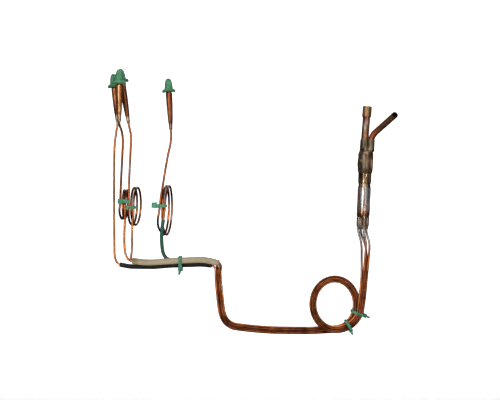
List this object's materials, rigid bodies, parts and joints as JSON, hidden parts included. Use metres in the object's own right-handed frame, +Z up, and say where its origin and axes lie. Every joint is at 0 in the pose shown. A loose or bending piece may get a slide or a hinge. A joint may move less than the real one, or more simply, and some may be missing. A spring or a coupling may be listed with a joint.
{
  "type": "capillary tube distributor",
  "caption": "Copper refrigerant distributor with thin capillary tubes wound into a ring and small coils, ending in capped copper stubs.",
  "frame": {"origin": "middle of the inlet socket's mouth, which the part hangs from", "axes": "+Z up along the distributor, +X from the outlet stubs towards the distributor, +Y into the depth, the way the small coils stand out"},
  "size_m": [0.361, 0.0858, 0.3339],
  "materials": {
    "copper": "drawn copper, bright with light oxide",
    "aged_copper": "torch-darkened copper with braze stains",
    "braze_alloy": "grey silver-phosphor braze",
    "brass": "turned",
    "steel_mesh": "woven stainless",
    "beige_sleeve": "matt insulating sleeve",
    "black_sleeve": "matt",
    "green_sleeve": "heat-shrink",
    "green_plastic": "moulded, satin"
  },
  "bodies": {
    "root": {"inlet_socket": "aged_copper", "inlet_tube": "aged_copper", "branch_tube": "aged_copper", "upper_shell": "aged_copper", "lower_shell": "aged_copper", "body_braze": "braze_alloy", "capillary_braze": "braze_alloy", "strainer_ring": "brass", "strainer_screen": "steel_mesh", "capillary_1": "copper", "capillary_2": "copper", "capillary_3": "copper", "capillary_4": "copper", "beige_sleeve": "beige_sleeve", "black_sleeve": "black_sleeve", "green_sleeve": "green_sleeve", "outlet_stub_1": "copper", "stub_braze_1": "braze_alloy", "outlet_stub_2": "copper", "stub_braze_2": "braze_alloy", "outlet_stub_3": "copper", "stub_braze_3": "braze_alloy", "outlet_stub_4": "copper", "stub_braze_4": "braze_alloy", "ring_tie_1": "green_plastic", "ring_tie_2": "green_plastic", "sleeve_tie": "green_plastic", "coil_tie_2": "green_plastic", "coil_tie_3": "green_plastic", "coil_tie_4": "green_plastic"},
    "cap_1": {"end_cap_1": "green_plastic"},
    "cap_2": {"end_cap_2": "green_plastic"},
    "cap_3": {"end_cap_3": "green_plastic"},
    "cap_4": {"end_cap_4": "green_plastic"}
  },
  "joints": [
    {"name": "cap_1_pull", "type": "slide", "parent": "root", "child": "cap_1", "axis": [-0.0863, 0.0247, 0.996], "range_m": [0, 0.02]},
    {"name": "cap_2_pull", "type": "slide", "parent": "root", "child": "cap_2", "axis": [-0.0023, 0, 1], "range_m": [0, 0.02]},
    {"name": "cap_3_pull", "type": "slide", "parent": "root", "child": "cap_3", "axis": [-0.1538, 0, 0.9881], "range_m": [0, 0.02]},
    {"name": "cap_4_pull", "type": "slide", "parent": "root", "child": "cap_4", "axis": [-0.0537, 0, 0.9986], "range_m": [0, 0.02]}
  ]
}
